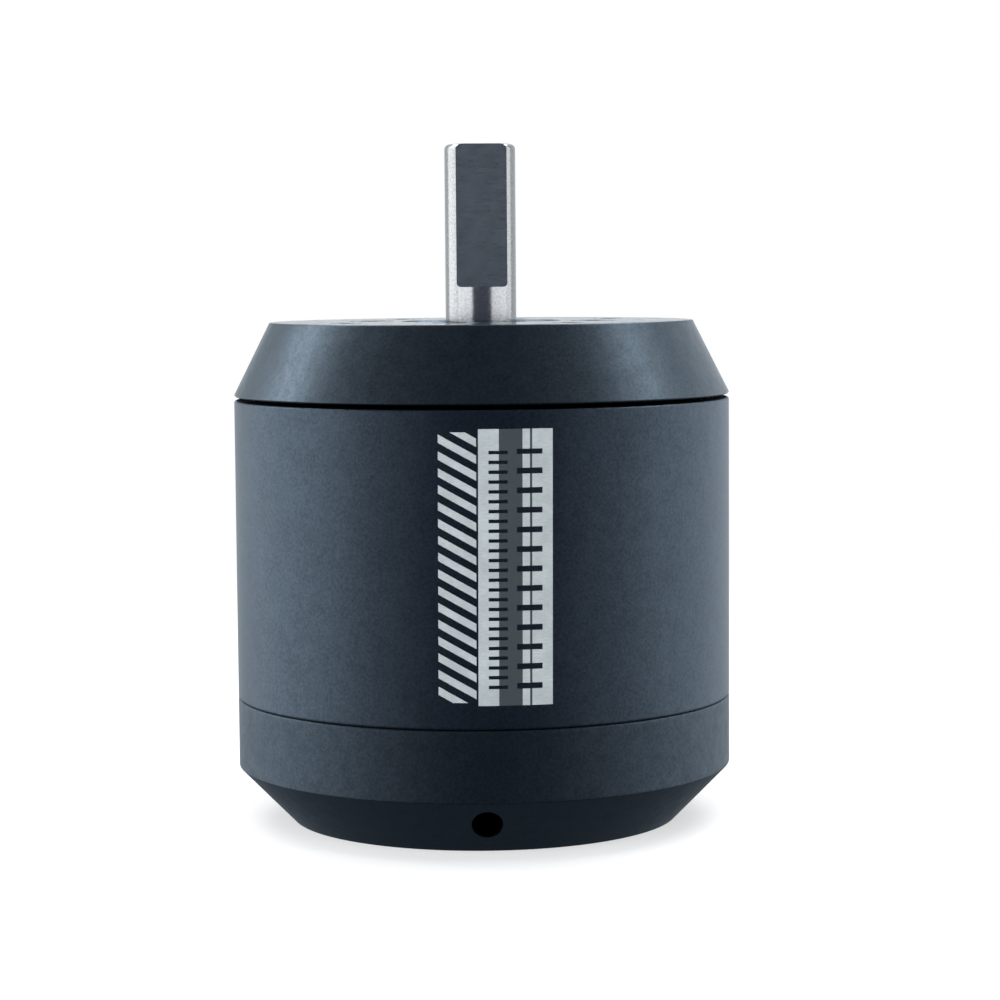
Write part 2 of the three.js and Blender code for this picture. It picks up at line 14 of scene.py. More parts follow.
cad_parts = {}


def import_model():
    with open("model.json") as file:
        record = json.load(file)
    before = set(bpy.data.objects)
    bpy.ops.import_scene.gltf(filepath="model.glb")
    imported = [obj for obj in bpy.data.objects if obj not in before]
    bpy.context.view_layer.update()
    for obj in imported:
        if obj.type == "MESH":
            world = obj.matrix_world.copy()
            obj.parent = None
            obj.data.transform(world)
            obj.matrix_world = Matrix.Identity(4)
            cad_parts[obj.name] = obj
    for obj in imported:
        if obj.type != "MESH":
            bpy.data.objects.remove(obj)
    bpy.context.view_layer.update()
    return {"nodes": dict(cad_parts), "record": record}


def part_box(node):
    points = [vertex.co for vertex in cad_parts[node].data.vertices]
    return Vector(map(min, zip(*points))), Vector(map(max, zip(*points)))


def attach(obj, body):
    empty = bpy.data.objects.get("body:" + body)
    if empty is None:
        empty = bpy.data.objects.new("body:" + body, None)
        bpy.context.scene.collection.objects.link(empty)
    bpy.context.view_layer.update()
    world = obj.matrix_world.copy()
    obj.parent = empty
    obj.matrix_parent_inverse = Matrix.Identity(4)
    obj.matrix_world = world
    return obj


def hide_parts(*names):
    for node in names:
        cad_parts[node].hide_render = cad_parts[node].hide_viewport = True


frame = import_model()

MM = 0.001
TAU = 2 * math.pi

# Facets round a full turn, for large, middling and small round shapes.
LARGE = 288
MIDDLE = 144
SMALL = 48


# ---- Sizes read from the frame, in millimetres ----

X, Y, Z = 0, 1, 2


def low(node, axis):
    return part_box(node)[0][axis] / MM


def high(node, axis):
    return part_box(node)[1][axis] / MM


BODY_RADIUS = high("flux_ring", X)
CAN_BOTTOM = low("flux_ring", Z)
CAN_TOP = high("flux_ring", Z)
CAP_FACE = high("front_cap", Z)
CAP_BOTTOM = low("front_cap", Z)
CAP_RIM = CAN_TOP + 0.55
SHAFT_RADIUS = high("shaft", X)
SHAFT_TOP = high("shaft", Z)
SHAFT_BOTTOM = low("shaft", Z)
BELL_TOP = high("rear_bell", Z)

CAP_FACE_RADIUS = 29.9
BEARING_SEAT_RADIUS = 11
MOUNT_CIRCLE_RADIUS = 22
MOUNT_ANGLE = math.radians(32)
SCREWS = 4
SCREW_CIRCLE_RADIUS = 16
SCREW_ANGLE = MOUNT_ANGLE + math.radians(45)
QUARTER = math.radians(90)

BELL_REAR_RADIUS = 27.4
BELL_CHAMFER = 7.8
BELL_FLOOR = 8.6
GRUB_HOLE_HEIGHT = 4.4
GRUB_HOLE_RADIUS = 2.1

FLAT_CLOCKING = math.radians(2.5)
FLAT_LENGTH = 20
FLAT_DEPTH = 1.5


# ---- Mesh tools ----

def object_from(name, verts, faces):
    mesh = bpy.data.meshes.new(name)
    mesh.from_pydata([Vector(v) * MM for v in verts], [], faces)
    mesh.validate()
    made = bpy.data.objects.new(name, mesh)
    bpy.context.scene.collection.objects.link(made)
    return made


def corner_arc(before, corner, after, radius, steps=5):
    """The rounded form of one corner: a short straight lead-in, the arc and a short lead-out."""
    to_before = (before - corner).normalized()
    to_after = (after - corner).normalized()
    half_angle = to_before.angle(to_after) / 2
    room = 0.4 * min((before - corner).length, (after - corner).length)
    reach = min(radius / math.tan(half_angle), room)
    radius = reach * math.tan(half_angle)
    lead = min(0.25, room - reach)
    centre = corner + (to_before + to_after).normalized() * (radius / math.sin(half_angle))
    first = corner + to_before * reach
    last = corner + to_after * reach
    points = [corner + to_before * (reach + lead)]
    for k in range(steps + 1):
        share = k / steps
        direction = (first - centre).slerp(last - centre, share).normalized()
        points.append(centre + radius * direction)
    points.append(corner + to_after * (reach + lead))
    return points


def rounded(outline):
    """A closed outline of (radius, height, rounding) corners, or (radius, height) where it stays sharp."""
    corners = [Vector(point[:2]) for point in outline]
    result = []
    for k, point in enumerate(outline):
        if len(point) < 3:
            result.append(corners[k])
            continue
        before = corners[k - 1]
        after = corners[(k + 1) % len(corners)]
        result.extend(corner_arc(before, corners[k], after, point[2]))
    return result


def lathe(name, outline, steps=LARGE):
    """A closed solid turned about Z. The half outline runs anticlockwise, outwards along its underside."""
    verts = []
    faces = []
    rings = []
    for radius, height in rounded(outline):
        if radius < 1e-6:
            rings.append([len(verts)] * steps)
            verts.append((0, 0, height))
            continue
        rings.append(list(range(len(verts), len(verts) + steps)))
        for k in range(steps):
            angle = TAU * k / steps
            verts.append((radius * math.cos(angle), radius * math.sin(angle), height))
    for lower, upper in zip(rings, rings[1:] + rings[:1]):
        for k in range(steps):
            n = (k + 1) % steps
            face = list(dict.fromkeys((lower[k], lower[n], upper[n], upper[k])))
            if len(face) > 2:
                faces.append(face)
    return object_from(name, verts, faces)


def prism(name, outline, bottom, top):
    """A flat outline of (x, y) points, anticlockwise, raised from one height to another."""
    count = len(outline)
    verts = [(x, y, bottom) for x, y in outline] + [(x, y, top) for x, y in outline]
    faces = [list(range(count - 1, -1, -1)), list(range(count, 2 * count))]
    for k in range(count):
        n = (k + 1) % count
        faces.append([k, n, count + n, count + k])
    return object_from(name, verts, faces)


def arc(centre, radius, start, end, steps):
    """Points on an arc, both ends included."""
    return [
        (
            centre[0] + radius * math.cos(start + (end - start) * k / steps),
            centre[1] + radius * math.sin(start + (end - start) * k / steps),
        )
        for k in range(steps + 1)
    ]


def obround(width, height, steps=16):
    end = height / 2
    straight = width / 2 - end
    right = arc((straight, 0), end, -QUARTER, QUARTER, steps)
    left = arc((-straight, 0), end, QUARTER, 3 * QUARTER, steps)
    return right + left


def disc(radius, steps):
    return arc((0, 0), radius, 0, TAU * (steps - 1) / steps, steps - 1)


def hexagon(across_flats):
    return disc(across_flats / math.sqrt(3), 6)


def moved(obj, x=0, y=0, z=0, tilt=0, turn=0):
    """Tilts the mesh about X, moves it by millimetres, then turns it about the motor's axis."""
    shift = Matrix.Translation(Vector((x, y, z)) * MM)
    obj.data.transform(Matrix.Rotation(turn, 4, "Z") @ shift @ Matrix.Rotation(tilt, 4, "X"))
    return obj


def copy_of(obj, name, turn):
    twin = bpy.data.objects.new(name, obj.data.copy())
    bpy.context.scene.collection.objects.link(twin)
    return moved(twin, turn=turn)


def apply_modifiers(obj):
    depsgraph = bpy.context.evaluated_depsgraph_get()
    mesh = bpy.data.meshes.new_from_object(obj.evaluated_get(depsgraph))
    obj.modifiers.clear()
    obj.data = mesh
    return obj


def combine(obj, other, operation):
    """Joins another solid to obj or takes it away from obj, and deletes it."""
    boolean = obj.modifiers.new("combine", "BOOLEAN")
    boolean.operation = operation
    boolean.solver = "EXACT"
    boolean.object = other
    apply_modifiers(obj)
    bpy.data.objects.remove(other)


def cut(obj, *cutters):
    for cutter in cutters:
        combine(obj, cutter, "DIFFERENCE")


def bevelled(obj, width, segments=2, angle=40):
    bevel = obj.modifiers.new("bevel", "BEVEL")
    bevel.width = width * MM
    bevel.segments = segments
    bevel.limit_method = "ANGLE"
    bevel.angle_limit = math.radians(angle)
    return apply_modifiers(obj)


def shaded(obj, sharp_angle=32):
    """Smooth shading that keeps edges sharper than this angle, in degrees."""
    for polygon in obj.data.polygons:
        polygon.use_smooth = True
    obj.data.set_sharp_from_angle(angle=math.radians(sharp_angle))
    return obj


def around(count, start, make):
    """Calls make(turn) at even steps round the axis."""
    return [make(start + TAU * k / count) for k in range(count)]


def thread_outline(core, crest, start, end, pitch):
    """Half outline of a ring-grooved cutter or bar that reads as a screw thread, from start up to end."""
    points = []
    turns = round((end - start) / pitch)
    for k in range(turns):
        base = start + k * pitch
        points.append((core, base))
        points.append((crest, base + pitch / 2))
    points.append((core, start + turns * pitch))
    return points


# ---- Shader tools ----

def map_range(tree, value, low_in, high_in, low_out=0.0, high_out=1.0, smooth=False):
    """A node that takes one range of a value to another."""
    node = tree.nodes.new("ShaderNodeMapRange")
    if smooth:
        node.interpolation_type = "SMOOTHSTEP"
    node.inputs["From Min"].default_value = low_in
    node.inputs["From Max"].default_value = high_in
    node.inputs["To Min"].default_value = low_out
    node.inputs["To Max"].default_value = high_out
    tree.links.new(value, node.inputs["Value"])
    return node.outputs["Result"]


class Shader:
    """A Principled material and the node chains that the finishes share, in millimetres."""

    def __init__(self, name, color, roughness, metallic=0.0):
        self.material = bpy.data.materials.new(name)
        self.material.use_nodes = True
        self.tree = self.material.node_tree
        self.surface = self.tree.nodes["Principled BSDF"]
        self.surface.inputs["Base Color"].default_value = (*color, 1)
        self.surface.inputs["Roughness"].default_value = roughness
        self.surface.inputs["Metallic"].default_value = metallic
        metres = self.tree.nodes.new("ShaderNodeTexCoord")
        to_millimetres = self.tree.nodes.new("ShaderNodeVectorMath")
        to_millimetres.operation = "SCALE"
        to_millimetres.inputs["Scale"].default_value = 1 / MM
        self.tree.links.new(metres.outputs["Object"], to_millimetres.inputs[0])
        self.place = to_millimetres.outputs[0]
        self.bump_chain = None

    def link(self, source, socket):
        if isinstance(source, (int, float)):
            socket.default_value = source
        else:
            self.tree.links.new(source, socket)

    def math(self, operation, a, b=0.0):
        node = self.tree.nodes.new("ShaderNodeMath")
        node.operation = operation
        for source, socket in zip((a, b), node.inputs):
            self.link(source, socket)
        return node.outputs[0]

    def split(self):
        """The x, y and height of the point that is shaded."""
        node = self.tree.nodes.new("ShaderNodeSeparateXYZ")
        self.tree.links.new(self.place, node.inputs[0])
        return node.outputs

    def joined(self, x, y, z):
        node = self.tree.nodes.new("ShaderNodeCombineXYZ")
        for source, socket in zip((x, y, z), node.inputs):
            self.link(source, socket)
        return node.outputs[0]

    def noise(self, scale, detail=2.0, vector=None, rough=0.5):
        node = self.tree.nodes.new("ShaderNodeTexNoise")
        node.inputs["Scale"].default_value = scale
        node.inputs["Detail"].default_value = detail
        node.inputs["Roughness"].default_value = rough
        self.tree.links.new(vector or self.place, node.inputs["Vector"])
        return node.outputs["Fac"]

    def spread(self, value, low_in, high_in, low_out=0.0, high_out=1.0):
        return map_range(self.tree, value, low_in, high_in, low_out, high_out)

    def cloud(self, scale, detail=3.0):
        """Noise stretched to run from about 0 to 1."""
        return self.spread(self.noise(scale, detail), 0.3, 0.7)

    def mix(self, share, first, second):
        """Mixes two colours, each a tuple or another node's output."""
        node = self.tree.nodes.new("ShaderNodeMix")
        node.data_type = "RGBA"
        self.link(share, node.inputs["Factor"])
        for source, socket in ((first, node.inputs[6]), (second, node.inputs[7])):
            if isinstance(source, tuple):
                socket.default_value = (*source, 1)
            else:
                self.tree.links.new(source, socket)
        return node.outputs[2]

    def mix_value(self, share, first, second):
        """Mixes two numbers."""
        return self.math("ADD", first, self.math("MULTIPLY", share, second - first))

    def color(self, output):
        self.tree.links.new(output, self.surface.inputs["Base Color"])

    def roughness(self, output):
        self.tree.links.new(output, self.surface.inputs["Roughness"])

    def metallic(self, output):
        self.tree.links.new(output, self.surface.inputs["Metallic"])

    def bump(self, height, distance, strength=1.0):
        """Adds a height pattern to the surface's normal. distance is in millimetres."""
        node = self.tree.nodes.new("ShaderNodeBump")
        node.inputs["Strength"].default_value = strength
        node.inputs["Distance"].default_value = distance * MM
        self.link(height, node.inputs["Height"])
        if self.bump_chain:
            self.tree.links.new(self.bump_chain, node.inputs["Normal"])
        self.bump_chain = node.outputs["Normal"]
        self.tree.links.new(self.bump_chain, self.surface.inputs["Normal"])

    def radius(self):
        """Distance from the motor's axis."""
        x, y, _ = self.split()
        squares = self.math("ADD", self.math("MULTIPLY", x, x), self.math("MULTIPLY", y, y))
        return self.math("SQRT", squares)

    def turning_lines(self, fineness):
        """Noise that changes along a turned outline but hardly round it, as a lathe tool leaves."""
        _, _, height = self.split()
        outwards = self.math("MULTIPLY", self.radius(), fineness)
        upwards = self.math("MULTIPLY", height, fineness)
        return self.noise(1.0, 3.0, self.joined(outwards, 0, upwards), 0.6)


# ---- Finishes ----

CAP_DYE = (0.052, 0.069, 0.086)
BELL_DYE = (0.0535, 0.072, 0.0915)
# Painted reflection: the bluer tone that the down-facing chamfer shows under its light.
CHAMFER_PAINTED_REFLECTION = (0.047, 0.078, 0.112)
CAN_COATING = (0.056, 0.075, 0.097)
ETCHED_METAL = (0.375, 0.42, 0.43)
ETCHED_GREY = (0.036, 0.046, 0.051)
EDGE_TINT = (0.84, 0.88, 0.92, 1)


def scaled(color, factor):
    return tuple(min(1.0, channel * factor) for channel in color)


def uneven(shader, pattern, tone, dark, light):
    """Takes the tone halfway to dark where the pattern is 0, and halfway to light where it is 1."""
    return shader.mix(pattern, shader.mix(0.5, tone, dark), shader.mix(0.5, tone, light))


def blasted(shader, dye):
    """Bead-blasted, dyed metal: large faint clouds, a fine mottle and a grain that breaks up its gloss."""
    cloud = shader.spread(shader.noise(0.10, 3.0), 0.35, 0.65)
    mottle = shader.spread(shader.noise(2.6, 2.0, rough=0.6), 0.3, 0.7)
    smudge = shader.spread(shader.noise(0.42, 4.0, rough=0.62), 0.36, 0.66)
    tone = shader.mix(cloud, scaled(dye, 0.9), scaled(dye, 1.1))
    tone = uneven(shader, smudge, tone, scaled(dye, 0.74), scaled(dye, 1.28))
    tone = uneven(shader, mottle, tone, scaled(dye, 0.62), scaled(dye, 1.45))
    shader.bump(shader.noise(3.6, 3.0, rough=0.6), 0.014, 0.6)
    return tone


def anodised(name, dye, roughness):
    """Dyed aluminium: a bluer painted reflection on the chamfer, a glossier cap face, and painted shade,
    next to black, in the closed gaps.
    """
    shader = Shader(name, dye, roughness, 1.0)
    tone = blasted(shader, dye)
    _, _, height = shader.split()
    # Painted shade: below the cap's rim, in the closed gap and inside the can, the metal is painted next
    # to black, as no light reaches it there; it is made fully rough there too.
    hidden = shader.math("GREATER_THAN", CAP_RIM - 0.02, height)
    shadowed = shader.math("MULTIPLY", hidden, shader.math("GREATER_THAN", height, CAN_BOTTOM + 5))
    # Painted reflection: half of a bluer tone is mixed in on the chamfer, for how the down-facing face is
    # lit.
    chamfer = shader.math("LESS_THAN", height, BELL_CHAMFER)
    tone = shader.mix(shader.math("MULTIPLY", chamfer, 0.5), tone, CHAMFER_PAINTED_REFLECTION)
    shader.color(shader.mix(shadowed, tone, scaled(dye, 0.05)))
    shader.bump(shader.turning_lines(5.0), 0.006, 0.4)
    gloss = shader.spread(shader.noise(0.6, 3.0), 0.3, 0.7, roughness - 0.03, roughness + 0.04)
    face = shader.math("GREATER_THAN", height, CAP_FACE - 0.02)
    gloss = shader.math("SUBTRACT", gloss, shader.math("MULTIPLY", face, 0.16))
    shader.roughness(shader.math("MAXIMUM", gloss, shadowed))
    shader.surface.inputs["Specular Tint"].default_value = EDGE_TINT
    return shader.material


def marked_can():
    """The can's black finish with a pale marking etched through it: striped panel, column of bars.

    Places on the can are millimetres round it from the front, and heights above the rear face.
    """
    shader = Shader("marked_can", CAN_COATING, 0.45, 1.0)
    tone = blasted(shader, CAN_COATING)
    x, y, height = shader.split()
    angle = shader.math("ARCTAN2", x, shader.math("MULTIPLY", y, -1.0))
    lean = shader.math("MULTIPLY", height, 0.006)
    along = shader.math("SUBTRACT", shader.math("MULTIPLY", angle, BODY_RADIUS), lean)

    def between(value, start, end):
        above = shader.math("GREATER_THAN", value, start)
        return shader.math("MULTIPLY", above, shader.math("LESS_THAN", value, end))

    def patch(start, end, bottom, top):
        return shader.math("MULTIPLY", between(along, start, end), between(height, bottom, top))

    def either(*masks):
        total = masks[0]
        for mask in masks[1:]:
            total = shader.math("MAXIMUM", total, mask)
        return total

    def repeated(value, start, pitch, share):
        """Bars at an even pitch: 1 over the first share of each pitch."""
        turns = shader.math("DIVIDE", shader.math("SUBTRACT", value, start), pitch)
        return shader.math("LESS_THAN", shader.math("FRACT", turns), share)

    panel_ends = (20.8, 57.0)
    panel = patch(-1.19, 8.64, *panel_ends)
    grey_stripe = patch(1.51, 4.61, *panel_ends)
    hairline = patch(5.59, 5.89, *panel_ends)

    first_tick, last_tick, tick_pitch = 23.0, 54.4, 1.28
    tick_row = patch(0.16, 2.66, first_tick, last_tick)
    long_tick_row = patch(3.86, 7.26, first_tick, last_tick)
    ticks = shader.math("MULTIPLY", tick_row, repeated(height, first_tick, tick_pitch, 0.36))
    long_ticks = repeated(height, first_tick, 2 * tick_pitch, 0.3)
    dark_print = either(ticks, shader.math("MULTIPLY", long_tick_row, long_ticks))

    slope = shader.math("ADD", height, shader.math("MULTIPLY", along, 0.55))
    bars = repeated(slope, 18.7, 2.2, 0.5)
    column = shader.math("MULTIPLY", patch(-6.44, -1.44, 21.2, 56.6), bars)

    etched = shader.math("MULTIPLY", either(panel, column), shader.math("SUBTRACT", 1.0, dark_print))
    stretched = shader.joined(shader.math("MULTIPLY", along, 1.1), 0, shader.math("MULTIPLY", height, 5.0))
    grain = shader.spread(shader.noise(1.0, 4.0, stretched), 0.3, 0.7)
    blotch = shader.spread(shader.noise(0.35, 3.0), 0.35, 0.65)
    metal = shader.mix(grain, scaled(ETCHED_METAL, 0.86), scaled(ETCHED_METAL, 1.08))
    metal = shader.mix(shader.math("MULTIPLY", blotch, 0.6), metal, scaled(ETCHED_METAL, 0.74))
    metal = shader.mix(either(grey_stripe, hairline), metal, ETCHED_GREY)
    # Painted shade: the can's end face lies in the closed gap under the cap's rim, so it is painted next
    # to black and made fully rough.
    inside = shader.math("LESS_THAN", shader.radius(), BODY_RADIUS - 0.35)
    painted_shade_end_face = shader.math("MULTIPLY", inside, shader.math("GREATER_THAN", height, CAN_TOP - 0.1))
    tone = shader.mix(painted_shade_end_face, tone, scaled(CAN_COATING, 0.05))
    shader.color(shader.mix(etched, tone, metal))
    shader.roughness(shader.math("MAXIMUM", shader.mix_value(etched, 0.45, 0.5), painted_shade_end_face))
    shader.metallic(shader.mix_value(etched, 1.0, 0.1))
    shader.bump(etched, 0.01, -0.5)
    shader.surface.inputs["Specular Tint"].default_value = EDGE_TINT
    return shader.material


def ground_steel():
    """Ground bar: specks of brighter metal over fine lines round the shaft."""
    shader = Shader("ground_steel", (0.40, 0.41, 0.42), 0.2, 1.0)
    x, y, height = shader.split()
    specks = shader.noise(3.0, 3.0, rough=0.65)
    shader.color(shader.mix(shader.spread(specks, 0.35, 0.65), (0.31, 0.32, 0.33), (0.43, 0.44, 0.45)))
    rounds = shader.joined(
        shader.math("MULTIPLY", x, 0.25),
        shader.math("MULTIPLY", y, 0.25),
        shader.math("MULTIPLY", height, 18.0),
    )
    shader.bump(shader.noise(1.0, 2.0, rounds), 0.003, 0.5)
    shader.bump(shader.noise(2.5, 3.0), 0.008, 0.6)
    shader.roughness(shader.spread(specks, 0.3, 0.7, 0.14, 0.24))
    return shader.material


def milled_steel():
    """The shaft's flat: crosswise cutter marks and faint clouds."""
    shader = Shader("milled_steel", (0.44, 0.48, 0.48), 0.3, 1.0)
    x, y, height = shader.split()
    across = shader.joined(
        shader.math("MULTIPLY", x, 0.5),
        shader.math("MULTIPLY", y, 0.5),
        shader.math("MULTIPLY", height, 4.0),
    )
    marks = shader.noise(1.0, 3.0, across)
    shader.color(shader.mix(shader.cloud(0.5), (0.36, 0.40, 0.41), (0.43, 0.48, 0.49)))
    shader.roughness(shader.spread(marks, 0.3, 0.7, 0.26, 0.36))
    shader.bump(marks, 0.008, 0.5)
    return shader.material


def metal(name, color, roughness, metallic=1.0, lines=0.0, grain=0.004):
    """A plain machined or plated metal with light tone and gloss changes."""
    shader = Shader(name, color, roughness, metallic)
    cloud = shader.noise(0.8, 3.0)
    shader.color(shader.mix(shader.spread(cloud, 0.3, 0.7), scaled(color, 0.85), scaled(color, 1.1)))
    shader.roughness(shader.spread(cloud, 0.3, 0.7, roughness * 0.85, roughness * 1.2))
    shader.bump(shader.noise(3.0, 3.0), grain, 0.5)
    if lines:
        shader.bump(shader.turning_lines(8.0), lines, 0.6)
    return shader.material


def soft(name, color, roughness, grain_scale=2.0, grain=0.02):
    """Rubber, moulded plastic or board: matt, with a fine skin."""
    shader = Shader(name, color, roughness)
    cloud = shader.noise(0.5, 3.0)
    shader.color(shader.mix(shader.spread(cloud, 0.3, 0.7), scaled(color, 0.8), scaled(color, 1.2)))
    shader.roughness(shader.spread(cloud, 0.3, 0.7, roughness * 0.92, min(1.0, roughness * 1.08)))
    shader.bump(shader.noise(grain_scale, 3.0), grain, 0.5)
    return shader.material


def laminated_steel():
    """Half-millimetre sheets: a dark line between each pair, straight up the stack."""
    shader = Shader("laminated_steel", (0.2, 0.21, 0.23), 0.5, 0.8)
    _, _, height = shader.split()
    layer = shader.math("FRACT", shader.math("DIVIDE", height, 0.5))
    line = shader.math("LESS_THAN", layer, 0.16)
    steel = shader.mix(shader.cloud(1.0, 2.0), (0.16, 0.17, 0.19), (0.24, 0.25, 0.27))
    shader.color(shader.mix(line, steel, (0.04, 0.04, 0.045)))
    shader.bump(line, 0.05, -0.6)
    return shader.material


def enamelled_copper():
    shader = Shader("enamelled_copper", (0.50, 0.17, 0.05), 0.28, 0.85)
    shader.color(shader.mix(shader.cloud(0.7, 2.0), (0.40, 0.12, 0.035), (0.58, 0.22, 0.07)))
    shader.surface.inputs["Coat Weight"].default_value = 0.6
    shader.surface.inputs["Coat Roughness"].default_value = 0.12
    shader.bump(shader.noise(2.5, 2.0), 0.01, 0.4)
    return shader.material


def printed_board():
    """Green solder mask with faint tracks and the weave of the board under it."""
    shader = Shader("printed_board", (0.012, 0.12, 0.045), 0.35)
    x, y, _ = shader.split()
    warp = shader.math("SINE", shader.math("MULTIPLY", x, 9.0))
    weft = shader.math("SINE", shader.math("MULTIPLY", y, 9.0))
    weave = shader.math("MULTIPLY", warp, weft)
    rings = shader.math("FRACT", shader.math("DIVIDE", shader.radius(), 1.3))
    tracks = shader.math("LESS_THAN", rings, 0.3)
    shader.color(shader.mix(tracks, (0.010, 0.10, 0.038), (0.02, 0.17, 0.07)))
    shader.bump(weave, 0.004, 0.4)
    shader.bump(tracks, 0.03, 0.5)
    return shader.material


FINISHES = {
    "black_anodised": anodised("cap_anodised", CAP_DYE, 0.37),
    "black_can": marked_can(),
    "polished_steel": ground_steel(),
    "raw_aluminium": metal("raw_aluminium", (0.6, 0.61, 0.62), 0.32, lines=0.01),
    "black_oxide_steel": metal("black_oxide_steel", (0.045, 0.046, 0.05), 0.4, 0.85, grain=0.008),
    "silicon_steel": laminated_steel(),
    "insulator_plastic": soft("insulator_plastic", (0.3, 0.045, 0.03), 0.55),
    "copper_wire": enamelled_copper(),
    "circuit_board": printed_board(),
    "black_rubber": soft("black_rubber", (0.016, 0.016, 0.017), 0.72, 1.5, 0.03),
    "bearing_steel": metal("bearing_steel", (0.6, 0.61, 0.62), 0.18, lines=0.004),
    "spring_steel": metal("spring_steel", (0.12, 0.12, 0.13), 0.35, 0.9, grain=0.008),
    "nickel_magnet": metal("nickel_magnet", (0.55, 0.54, 0.52), 0.25, grain=0.008),
}
MILLED = milled_steel()
BELL_FINISH = anodised("bell_anodised", BELL_DYE, 0.50)

for row in frame["record"]["subparts"]:
    cad_object = frame["nodes"][row["node"]]
    cad_object.data.materials.clear()
    cad_object.data.materials.append(FINISHES[row["material_slot"]])


def place(obj, body, slot, *nodes):
    """Gives a finished piece its finish, its body and the CAD nodes that it stands for."""
    obj.data.materials.clear()
    obj.data.materials.append(FINISHES[slot])
    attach(obj, body)
    if nodes:
        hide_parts(*nodes)
    return obj


# ---- Front cap, its grommet and its screws ----

def chamfered_mouth(core, mouth):
    """The upper end of a hole's outline: a 45 degree chamfer that opens at the cap's face."""
    return [
        (core, CAP_FACE - (mouth - core)),
        (mouth, CAP_FACE),
        (mouth, CAP_FACE + 1),
        (0, CAP_FACE + 1),
    ]


def threaded_hole(turn):
    """Cutter for an M4 mounting hole with a chamfered mouth."""
    core, crest, mouth, pitch = 1.65, 1.98, 2.2, 0.7
    hole_end = CAP_FACE - 7
    wall = thread_outline(core, crest, hole_end, CAP_FACE - 0.75, pitch)
    outline = [(0, hole_end), *wall, *chamfered_mouth(core, mouth)]
    return moved(lathe("mount_hole", outline, SMALL), x=MOUNT_CIRCLE_RADIUS, turn=turn)


def countersink(turn):
    """Cutter for one of the holes of the screws that hold the stator tube."""
    core, mouth = 1.6, 3.25
    hole_end = CAP_FACE - 10
    outline = [(0, hole_end), (core, hole_end), *chamfered_mouth(core, mouth)]
    return moved(lathe("screw_hole", outline, SMALL), x=SCREW_CIRCLE_RADIUS, turn=turn)


CABLE_SLOT_HEIGHT = 64


def front_cap():
    """Coned cap with the bearing's seat, the mounting holes and a slot for the leads."""
    outline = [
        (9.5, CAP_FACE - 9),
        (20, CAP_FACE - 9, 0.3),
        (20, CAP_FACE - 6, 0.5),
        (28.5, CAP_FACE - 6, 0.5),
        (28.5, CAP_BOTTOM, 0.2),
        (31.2, CAP_BOTTOM, 0.2),
        (31.2, CAP_RIM),
        (BODY_RADIUS - 0.2, CAP_RIM, 0.08),
        (BODY_RADIUS, CAP_RIM + 0.2, 0.12),
        (CAP_FACE_RADIUS, CAP_FACE, 0.28),
        (BEARING_SEAT_RADIUS + 0.3, CAP_FACE, 0.05),
        (BEARING_SEAT_RADIUS, CAP_FACE - 0.3),
        (BEARING_SEAT_RADIUS, CAP_FACE - 8),
        (9.5, CAP_FACE - 8),
    ]
    cap = lathe("front_cap_detail", outline)
    slot_cutter = prism("cable_slot", obround(18.4, 5.4), 0, 20)
    moved(slot_cutter, y=44, z=CABLE_SLOT_HEIGHT, tilt=QUARTER)
    holes = around(4, MOUNT_ANGLE, threaded_hole) + around(SCREWS, SCREW_ANGLE, countersink)
    cut(cap, *holes, slot_cutter)
    place(shaded(cap), "stator", "black_anodised", "front_cap")


def cable_grommet():
    """Gland of the phase and sensor leads, with a raised lip round each hole."""
    hole_radii = (1.75, 1.75, 1.75, 1.4)
    wall = 0.8
    inner, outer = low("cable_grommet", Y), high("cable_grommet", Y)
    body = prism("cable_grommet_detail", obround(18.0, 5.0), 0, outer - inner)
    bevelled(body, 0.45, 4)
    edge = -(2 * sum(hole_radii) + wall * (len(hole_radii) - 1)) / 2
    cutters = []
    for radius in hole_radii:
        mouth = radius + 0.3
        outline = [(0, -1), (radius, -1), (radius, 5.9), (mouth, 6.4), (mouth, 8), (0, 8)]
        cutters.append(moved(lathe("lead_hole", outline, SMALL), x=edge + radius))
        edge += 2 * radius + wall
    cut(body, *cutters)
    moved(body, y=inner, z=CABLE_SLOT_HEIGHT, tilt=-QUARTER)
    place(shaded(body), "stator", "black_rubber", "cable_grommet")


def tube_screws():
    """Countersunk socket screws, their heads level with the cap's face."""
    top = high("tube_screw_1", Z)
    tip = low("tube_screw_1", Z)
    head, core, crest = 2.9, 1.22, 1.48
    neck = top - 0.15 - (head - 1.45)
    thread = thread_outline(core, crest, tip + 0.3, neck - 1.0, 0.5)
    outline = [
        (0, tip),
        (1.0, tip),
        *thread,
        (1.45, neck - 0.8),
        (1.45, neck),
        (head, top - 0.15, 0.04),
        (head - 0.06, top, 0.03),
        (0, top),
    ]
    screw = lathe("tube_screw_detail", outline, SMALL)
    socket = prism("socket", hexagon(2.0), top - 1.4, top + 1)
    cut(screw, socket)
    shaded(moved(screw, x=SCREW_CIRCLE_RADIUS))
    for k in range(SCREWS):
        twin = copy_of(screw, f"tube_screw_{k + 1}_detail", SCREW_ANGLE + k * QUARTER)
        place(twin, "stator", "black_oxide_steel", f"tube_screw_{k + 1}")
    bpy.data.objects.remove(screw)


# ---- Can, bell and shaft ----

def can():
    """Plain tube that turns with the bell and carries the magnets."""
    inner = BODY_RADIUS - 2.75
    outline = [
        (inner, CAN_BOTTOM, 0.1),
        (BODY_RADIUS, CAN_BOTTOM, 0.32),
        (BODY_RADIUS, CAN_TOP, 0.3),
        (inner, CAN_TOP, 0.2),
    ]
    place(shaded(lathe("flux_ring_detail", outline)), "rotor", "black_can", "flux_ring")


